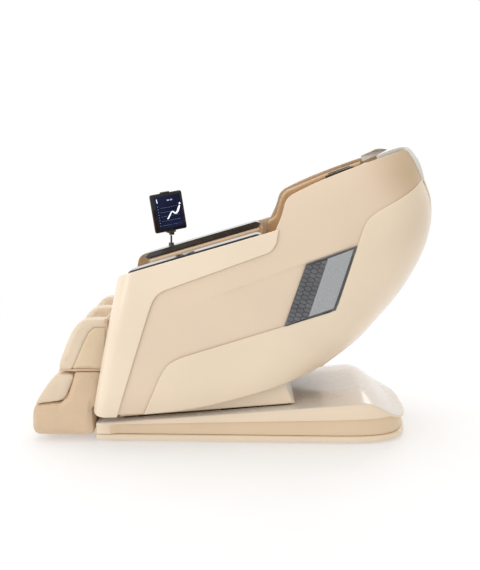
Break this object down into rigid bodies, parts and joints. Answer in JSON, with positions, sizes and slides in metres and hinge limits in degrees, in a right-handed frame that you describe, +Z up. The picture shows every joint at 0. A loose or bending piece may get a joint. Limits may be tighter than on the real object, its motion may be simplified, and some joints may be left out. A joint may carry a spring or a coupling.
{
  "type": "massage chair",
  "caption": "Capsule massage chair: a one-piece tilting seat with winged sides, channelled arms, a lifting leg rest with foot wells, and a tablet on a post, on a low plinth.",
  "frame": {"origin": "middle of the footprint of the whole chair, on the floor", "axes": "+Z up, +X towards the head end, +Y on the sitter's right; the sitter faces -X"},
  "size_m": [1.5998, 0.7616, 1.1705],
  "materials": {
    "shell_champagne": "satin pearl lacquer on moulded plastic",
    "panel_rose": "satin pearl lacquer, a shade pinker than the shells",
    "pearl_white": "polished pearl lacquer",
    "leather_tan": "upholstery leather with fine grain",
    "leather_pale": "pale upholstery leather with fine grain",
    "gloss_black": "polished",
    "grille_dark": "moulded speaker grille",
    "steel_bright": "turned and ground",
    "steel_painted": "powder coated",
    "plastic_black": "fine moulded texture",
    "rubber_black": "moulded",
    "screen_glass": "cover glass over a dark display"
  },
  "bodies": {
    "base": {"base_plinth": "shell_champagne", "base_deck": "shell_champagne", "pedestal_skirt": "shell_champagne", "chassis_frame": "steel_painted", "tilt_shaft": "steel_bright", "foot_front_left": "rubber_black", "foot_front_right": "rubber_black", "foot_rear_left": "rubber_black", "foot_rear_right": "rubber_black", "control_box": "plastic_black", "air_pump": "plastic_black", "power_inlet": "plastic_black", "wheel_axle": "steel_bright"},
    "rocker": {"power_switch": "plastic_black"},
    "wheel_left": {"transport_wheel_left": "rubber_black"},
    "wheel_right": {"transport_wheel_right": "rubber_black"},
    "recline_tube": {"recline_motor": "steel_painted"},
    "recline_ram": {"recline_rod": "steel_bright"},
    "seat_body": {"seat_frame": "steel_painted", "leg_shaft": "steel_bright", "track_left": "steel_bright", "track_right": "steel_bright", "side_front_left": "shell_champagne", "side_front_right": "shell_champagne", "side_middle_left": "panel_rose", "side_middle_right": "panel_rose", "side_rear_left": "shell_champagne", "side_rear_right": "shell_champagne", "side_grille_left": "grille_dark", "side_grille_right": "grille_dark", "back_shell": "shell_champagne", "hood": "pearl_white", "wing_liner_left": "leather_tan", "wing_liner_right": "leather_tan", "speaker_left": "gloss_black", "speaker_right": "gloss_black", "arm_cap_left": "gloss_black", "arm_cap_right": "gloss_black", "arm_pad_left": "leather_tan", "arm_pad_right": "leather_tan", "seat_cushion": "leather_tan", "back_cushion": "leather_tan"},
    "leg_tube": {"leg_motor": "steel_painted"},
    "leg_ram": {"leg_rod": "steel_bright"},
    "carriage": {"massage_carriage": "steel_painted"},
    "kneader": {"kneading_shaft": "steel_bright"},
    "pillow": {"head_pillow": "leather_pale"},
    "leg_rest": {"calf_shell": "plastic_black", "calf_wall_left": "leather_tan", "calf_wall_right": "leather_tan", "calf_divider": "leather_tan", "calf_pad_left": "leather_pale", "calf_pad_right": "leather_pale"},
    "foot_unit": {"foot_shell": "leather_tan", "foot_cuff": "leather_pale"},
    "sole_roller": {"foot_roller": "steel_bright"},
    "swivel": {"tablet_post": "gloss_black"},
    "tablet": {"tablet_case": "plastic_black", "tablet_screen": "screen_glass", "tablet_holder": "gloss_black"}
  },
  "joints": [
    {"name": "body_tilt", "type": "hinge", "parent": "base", "child": "seat_body", "pos_m": [0.18, 0, 0.205], "axis": [0, 1, 0], "range_deg": [0, 22]},
    {"name": "recline_motor_pivot", "type": "hinge", "parent": "base", "child": "recline_tube", "pos_m": [-0.36, 0, 0.055], "axis": [0, 1, 0], "range_deg": [-13.7, 0]},
    {"name": "recline_extend", "type": "slide", "parent": "recline_tube", "child": "recline_ram", "axis": [0.8559, 0, 0.5171], "range_m": [0, 0.086]},
    {"name": "legrest_lift", "type": "hinge", "parent": "seat_body", "child": "leg_rest", "pos_m": [-0.46, 0, 0.42], "axis": [0, 1, 0], "range_deg": [0, 80]},
    {"name": "leg_motor_pivot", "type": "hinge", "parent": "seat_body", "child": "leg_tube", "pos_m": [-0.05, 0.09, 0.255], "axis": [0, 1, 0], "range_deg": [0, 5.95]},
    {"name": "leg_extend", "type": "slide", "parent": "leg_tube", "child": "leg_ram", "axis": [-0.9815, 0, 0.1915], "range_m": [0, 0.0985]},
    {"name": "footrest_extend", "type": "slide", "parent": "leg_rest", "child": "foot_unit", "axis": [-0.208, 0, -0.9781], "range_m": [0, 0.1502]},
    {"name": "sole_roller_spin", "type": "hinge", "parent": "foot_unit", "child": "sole_roller", "pos_m": [-0.69, 0, 0.08], "axis": [0, 1, 0], "continuous": true},
    {"name": "carriage_travel", "type": "slide", "parent": "seat_body", "child": "carriage", "axis": [0.5361, 0, 0.8442], "range_m": [0, 0.3]},
    {"name": "kneading_spin", "type": "hinge", "parent": "carriage", "child": "kneader", "pos_m": [0.38476, 0, 0.49848], "axis": [0, 1, 0], "continuous": true},
    {"name": "pillow_flip", "type": "hinge", "parent": "seat_body", "child": "pillow", "pos_m": [0.582, 0, 1.108], "axis": [0, 1, 0], "range_deg": [0, 120]},
    {"name": "tablet_swivel", "type": "hinge", "parent": "seat_body", "child": "swivel", "pos_m": [-0.288, 0.306, 0.75], "axis": [0, 0, 1], "range_deg": [-45, 60]},
    {"name": "tablet_tilt", "type": "hinge", "parent": "swivel", "child": "tablet", "pos_m": [-0.2865, 0.3071, 0.7802], "axis": [0.9272, 0.3746, 0], "range_deg": [-15, 25]},
    {"name": "wheel_spin_left", "type": "hinge", "parent": "base", "child": "wheel_left", "pos_m": [0.6, -0.16, 0.036], "axis": [0, 1, 0], "continuous": true},
    {"name": "wheel_spin_right", "type": "hinge", "parent": "base", "child": "wheel_right", "pos_m": [0.6, 0.16, 0.036], "axis": [0, 1, 0], "continuous": true},
    {"name": "power_rock", "type": "hinge", "parent": "base", "child": "rocker", "pos_m": [0.7005, 0.11, 0.065], "axis": [0, 1, 0], "range_deg": [-8, 0]}
  ],
  "couplings": [
    {"joint": "recline_motor_pivot", "follows": "body_tilt", "ratio": -0.6186},
    {"joint": "recline_extend", "follows": "body_tilt", "m_per_rad": 0.2232},
    {"joint": "leg_motor_pivot", "follows": "legrest_lift", "ratio": 0.0735},
    {"joint": "leg_extend", "follows": "legrest_lift", "m_per_rad": 0.0704},
    {"joint": "footrest_extend", "follows": "legrest_lift", "m_per_rad": 0.10743}
  ]
}
